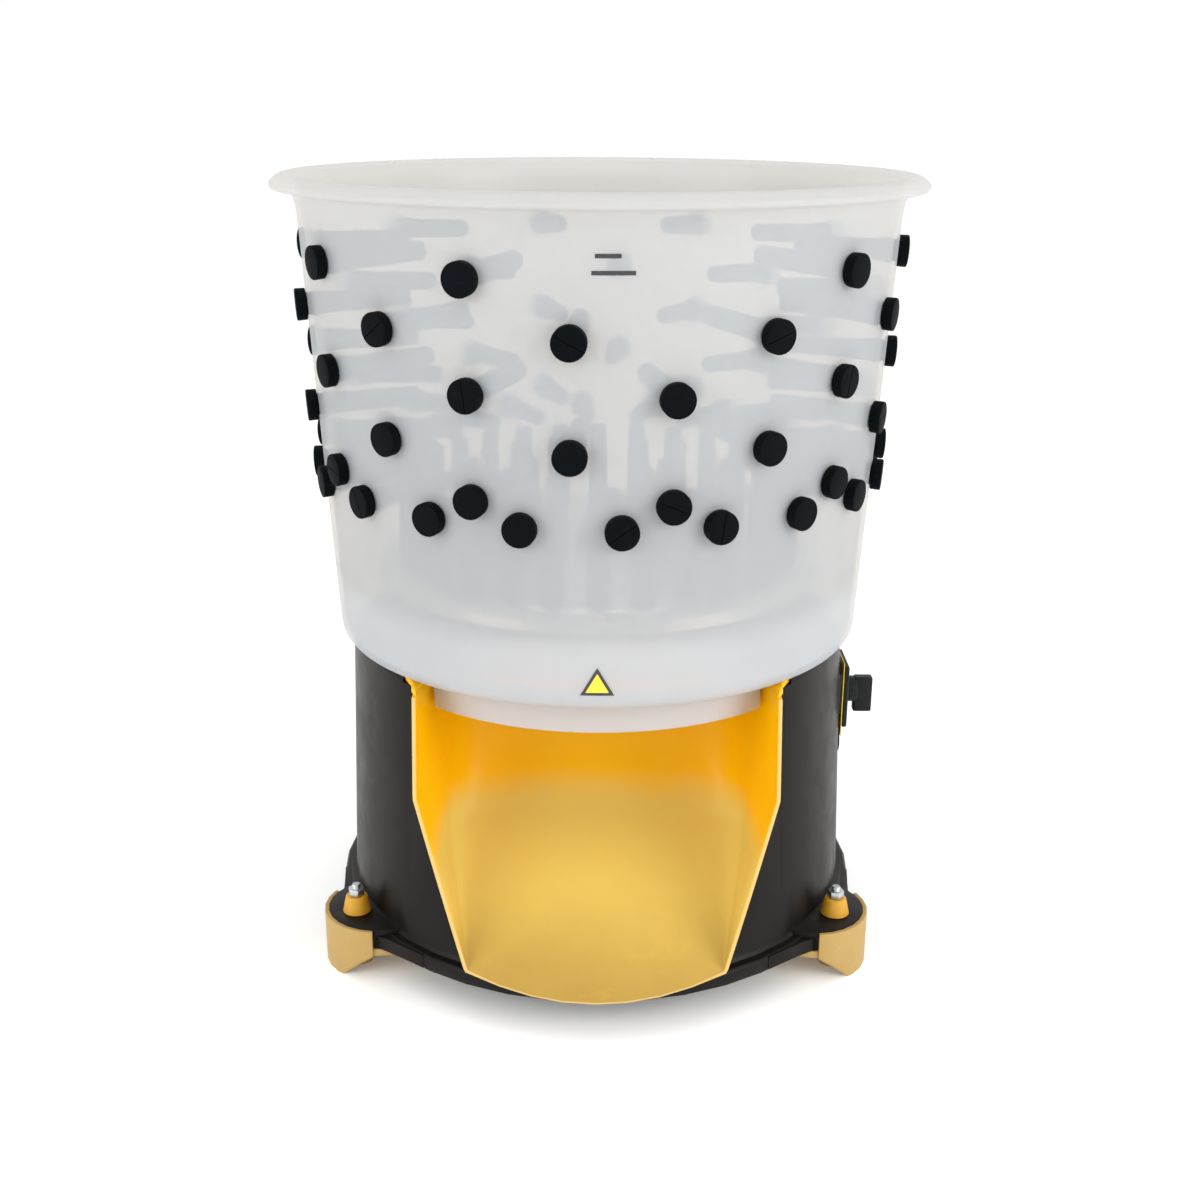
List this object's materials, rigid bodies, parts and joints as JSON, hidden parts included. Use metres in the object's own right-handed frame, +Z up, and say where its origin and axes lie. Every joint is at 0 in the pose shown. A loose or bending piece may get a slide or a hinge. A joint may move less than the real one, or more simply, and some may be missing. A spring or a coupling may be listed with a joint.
{
  "type": "drum poultry plucker",
  "caption": "Translucent tub lined with rubber fingers over a turning finger plate, on a round base with a feather chute and feet.",
  "frame": {"origin": "on the rotor axis at floor level, at the centre of the base footprint", "axes": "+Z up along the rotor axis, -Y towards the feather chute, +X towards the side with the rotary switch"},
  "size_m": [0.56, 0.56, 0.695],
  "materials": {
    "tub_plastic": "milky translucent polyethylene, satin",
    "rubber": "moulded black rubber, matt",
    "base_plastic": "charcoal moulded plastic, fine satin grain",
    "chute_plastic": "golden yellow moulded plastic, satin",
    "foot_plastic": "pale yellow moulded plastic, satin",
    "steel": "stainless, brushed",
    "zinc": "zinc plated",
    "cast_alloy": "cast aluminium",
    "motor_paint": "grey enamel",
    "black_plastic": "black plastic, satin",
    "label": "yellow label sheet"
  },
  "bodies": {
    "frame": {"tub": "tub_plastic", "wall_fingers_row_1": "rubber", "wall_fingers_row_2": "rubber", "wall_fingers_row_3": "rubber", "wall_fingers_row_4": "rubber", "wall_fingers_row_5": "rubber", "wall_fingers_row_6": "rubber", "chute": "chute_plastic", "base_shell": "base_plastic", "foot_left": "foot_plastic", "foot_cap_left": "chute_plastic", "foot_bolt_left": "zinc", "foot_nut_left": "zinc", "foot_right": "foot_plastic", "foot_cap_right": "chute_plastic", "foot_bolt_right": "zinc", "foot_nut_right": "zinc", "foot_rear": "foot_plastic", "foot_cap_rear": "chute_plastic", "foot_bolt_rear": "zinc", "foot_nut_rear": "zinc", "shaft_seal": "rubber", "bearing_housing": "cast_alloy", "bearing_upper": "steel", "bearing_lower": "steel", "motor_plate": "zinc", "plate_screw_1": "zinc", "plate_screw_2": "zinc", "plate_screw_3": "zinc", "plate_screw_4": "zinc", "motor_body": "motor_paint", "motor_screw_1": "zinc", "motor_screw_2": "zinc", "motor_screw_3": "zinc", "motor_screw_4": "zinc", "drive_belt": "rubber", "bottom_guard": "black_plastic", "guard_screw_1": "zinc", "guard_screw_2": "zinc", "guard_screw_3": "zinc", "tub_screw_1": "zinc", "tub_screw_2": "zinc", "tub_screw_3": "zinc", "switch_label": "label", "switch_plate": "black_plastic", "switch_body": "black_plastic", "power_inlet": "black_plastic"},
    "rotor": {"rotor_plate": "steel", "plate_fingers_inner": "rubber", "plate_fingers_middle": "rubber", "plate_fingers_outer": "rubber", "rotor_hub": "cast_alloy", "hub_cap_nut": "steel", "drive_shaft": "steel", "rotor_pulley": "cast_alloy"},
    "motor_rotor": {"motor_shaft": "steel", "motor_pulley": "cast_alloy"},
    "knob": {"switch_knob": "black_plastic"}
  },
  "joints": [
    {"name": "rotor_spin", "type": "hinge", "parent": "frame", "child": "rotor", "pos_m": [0, 0, 0.36], "axis": [0, 0, 1], "continuous": true},
    {"name": "motor_spin", "type": "hinge", "parent": "frame", "child": "motor_rotor", "pos_m": [0, 0.12, 0.062], "axis": [0, 0, 1], "continuous": true},
    {"name": "switch_turn", "type": "hinge", "parent": "frame", "child": "knob", "pos_m": [0.24, 0, 0.219], "axis": [1, 0, 0], "range_deg": [0, 90]}
  ],
  "couplings": [
    {"joint": "motor_spin", "follows": "rotor_spin", "ratio": 5}
  ]
}
